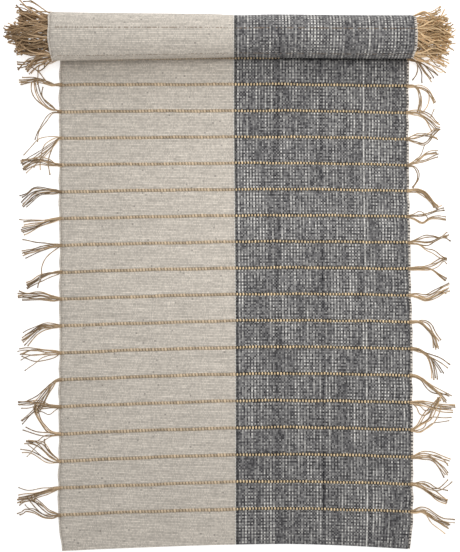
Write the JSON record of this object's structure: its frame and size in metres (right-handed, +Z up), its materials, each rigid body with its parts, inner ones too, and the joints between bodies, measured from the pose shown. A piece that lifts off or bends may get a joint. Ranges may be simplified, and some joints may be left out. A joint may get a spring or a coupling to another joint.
{
  "type": "runner rug",
  "caption": "Flat-woven runner rug in natural and grey melange halves with inlaid jute stripes and side tassels, laid flat with its far end rolled up.",
  "frame": {"origin": "bottom centre of the bounding box: midway between the tips of the two rows of tassels, midway between the front edge and the far side of the roll's tassels, on the floor", "axes": "+X across the rug to the grey half, +Y along it from the free front edge to the roll, +Z up off the floor"},
  "size_m": [0.94, 1.1216, 0.0947],
  "materials": {
    "cotton": "matt flat weave, natural undyed",
    "cotton_edge": "matt, tight selvedge",
    "melange": "matt flat weave, black and white flecks",
    "melange_edge": "matt, cream and black twist",
    "jute": "matt coarse plant fibre"
  },
  "bodies": {
    "root": {"cream_selvedge": "cotton_edge", "cream_field": "cotton", "grey_field": "melange", "grey_selvedge": "melange_edge", "jute_inlay_01": "jute", "jute_inlay_02": "jute", "jute_inlay_03": "jute", "jute_inlay_04": "jute", "jute_inlay_05": "jute", "jute_inlay_06": "jute", "jute_inlay_07": "jute", "jute_inlay_08": "jute", "jute_inlay_09": "jute", "jute_inlay_10": "jute", "jute_inlay_11": "jute", "jute_inlay_12": "jute", "jute_inlay_13": "jute", "jute_inlay_14": "jute", "jute_inlay_15": "jute", "jute_inlay_16": "jute", "jute_inlay_17": "jute", "jute_inlay_18": "jute", "jute_inlay_19": "jute", "jute_inlay_20": "jute", "jute_inlay_21": "jute", "jute_inlay_22": "jute", "jute_inlay_23": "jute", "jute_inlay_24": "jute", "jute_inlay_25": "jute", "jute_inlay_26": "jute", "jute_inlay_27": "jute", "jute_inlay_28": "jute", "jute_inlay_29": "jute", "jute_inlay_30": "jute", "jute_inlay_31": "jute", "jute_inlay_32": "jute", "jute_inlay_33": "jute", "jute_inlay_34": "jute", "jute_inlay_35": "jute", "jute_inlay_36": "jute", "jute_inlay_37": "jute", "jute_inlay_38": "jute", "jute_inlay_39": "jute", "jute_inlay_40": "jute", "jute_inlay_41": "jute", "jute_inlay_42": "jute"}
  },
  "joints": []
}
